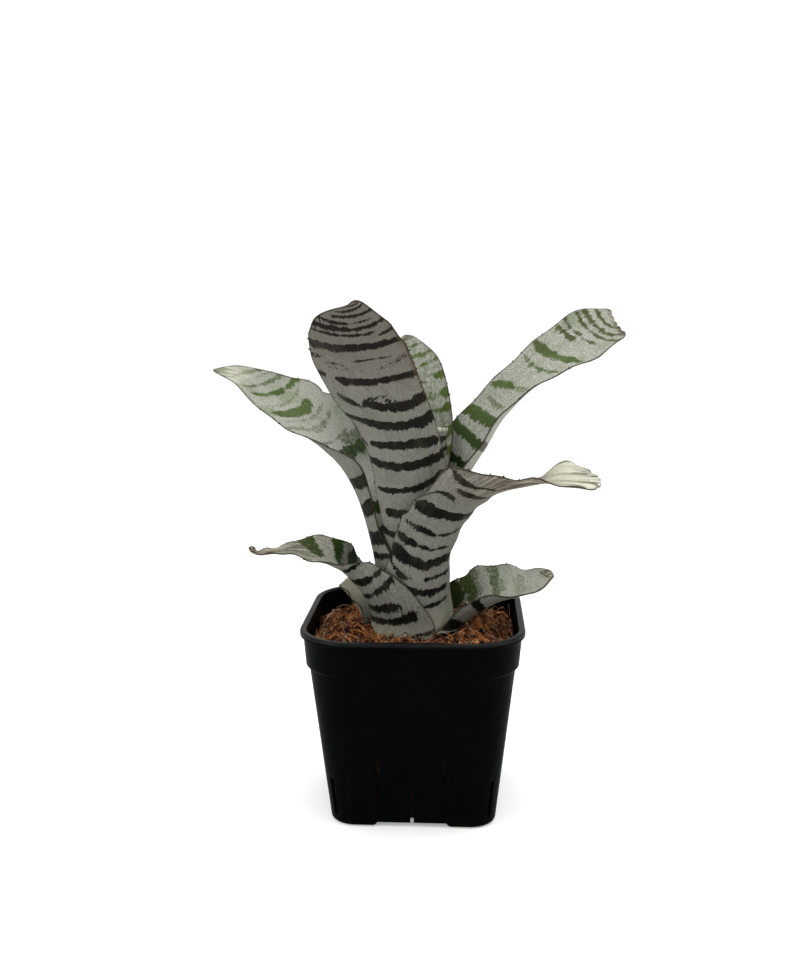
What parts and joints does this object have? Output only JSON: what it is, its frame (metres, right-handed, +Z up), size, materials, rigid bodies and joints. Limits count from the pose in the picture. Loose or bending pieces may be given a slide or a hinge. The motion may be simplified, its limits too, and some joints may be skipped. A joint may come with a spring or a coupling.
{
  "type": "potted banded tank bromeliad, a young plant in a square nursery pot",
  "caption": "Young upright bromeliad with dark cross-banded silver-green spined leaves, planted in coconut husk in a black square plastic nursery pot.",
  "frame": {"origin": "Middle of the square pot's underside, on the plane it stands on.", "axes": "+Z up along the plant. +X to the right and -Y towards a viewer of the front side, the side of the pot that the picture shows."},
  "size_m": [0.1522, 0.0869, 0.1858],
  "materials": {
    "pot_plastic": "satin",
    "coir": "matte",
    "stock": "matte",
    "leaf": "satin",
    "dry_leaf": "matte"
  },
  "bodies": {
    "root": {"pot": "pot_plastic", "growing_medium": "coir", "stem": "stock", "leaf_lower_right": "leaf", "leaf_lower_left": "leaf", "leaf_front_right": "leaf", "leaf_left": "leaf", "leaf_front": "leaf", "leaf_upper_right": "leaf", "leaf_back": "leaf", "leaf_inner": "leaf", "trimmed_leaf_base": "dry_leaf"}
  },
  "joints": []
}
